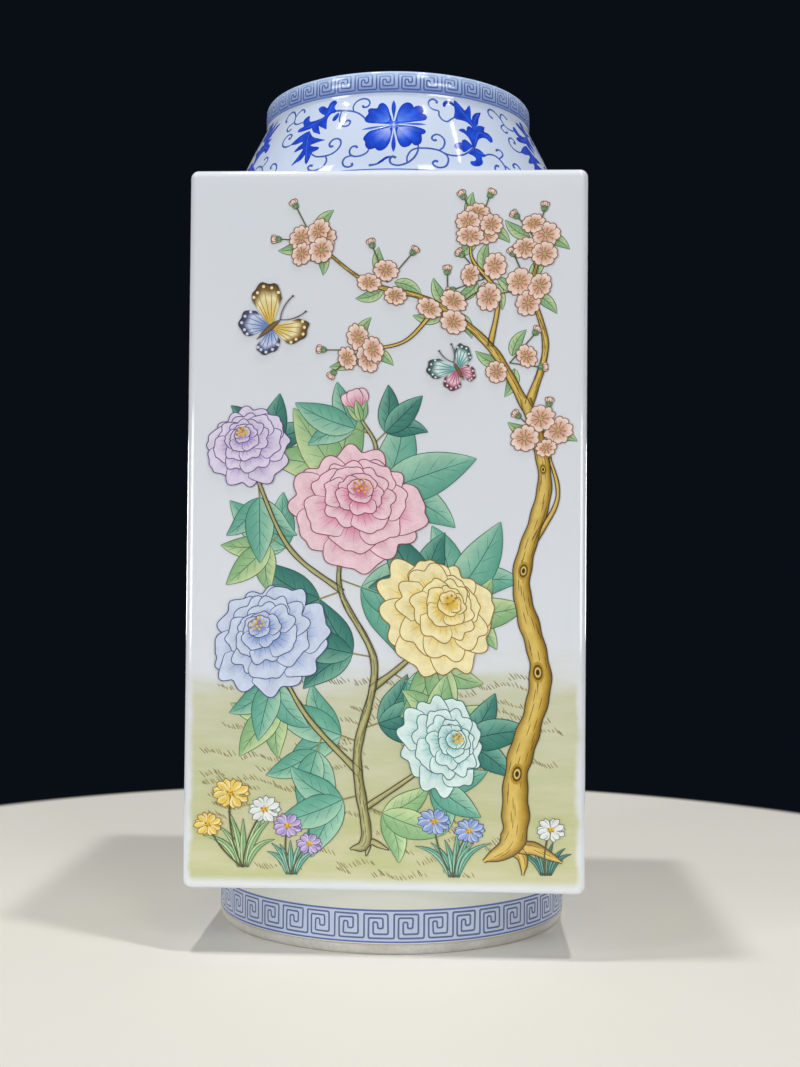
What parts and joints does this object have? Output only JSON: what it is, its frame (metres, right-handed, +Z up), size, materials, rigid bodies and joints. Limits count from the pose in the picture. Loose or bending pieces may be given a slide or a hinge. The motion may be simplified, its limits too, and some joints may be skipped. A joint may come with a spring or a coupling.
{
  "type": "cong vase",
  "caption": "Square slab-built porcelain vase with a round flaring neck and a round foot ring, for flowers or display.",
  "frame": {"origin": "on the table, at the middle of the foot ring's underside", "axes": "+Z up along the axis of the neck and foot; the front panel faces -Y"},
  "size_m": [0.124, 0.124, 0.28],
  "materials": {
    "body_glaze": "clear gloss glaze over white porcelain",
    "neck_glaze": "clear gloss glaze over white porcelain",
    "foot_glaze": "clear gloss glaze, bare unglazed lower edge",
    "cobalt": "cobalt blue painting under gloss glaze",
    "enamel": "painted overglaze enamels, gloss"
  },
  "bodies": {
    "root": {"front_panel": "body_glaze", "right_panel": "body_glaze", "back_panel": "body_glaze", "left_panel": "body_glaze", "shoulder_slab": "body_glaze", "floor_slab": "body_glaze", "neck": "neck_glaze", "foot_ring": "foot_glaze"}
  },
  "joints": []
}
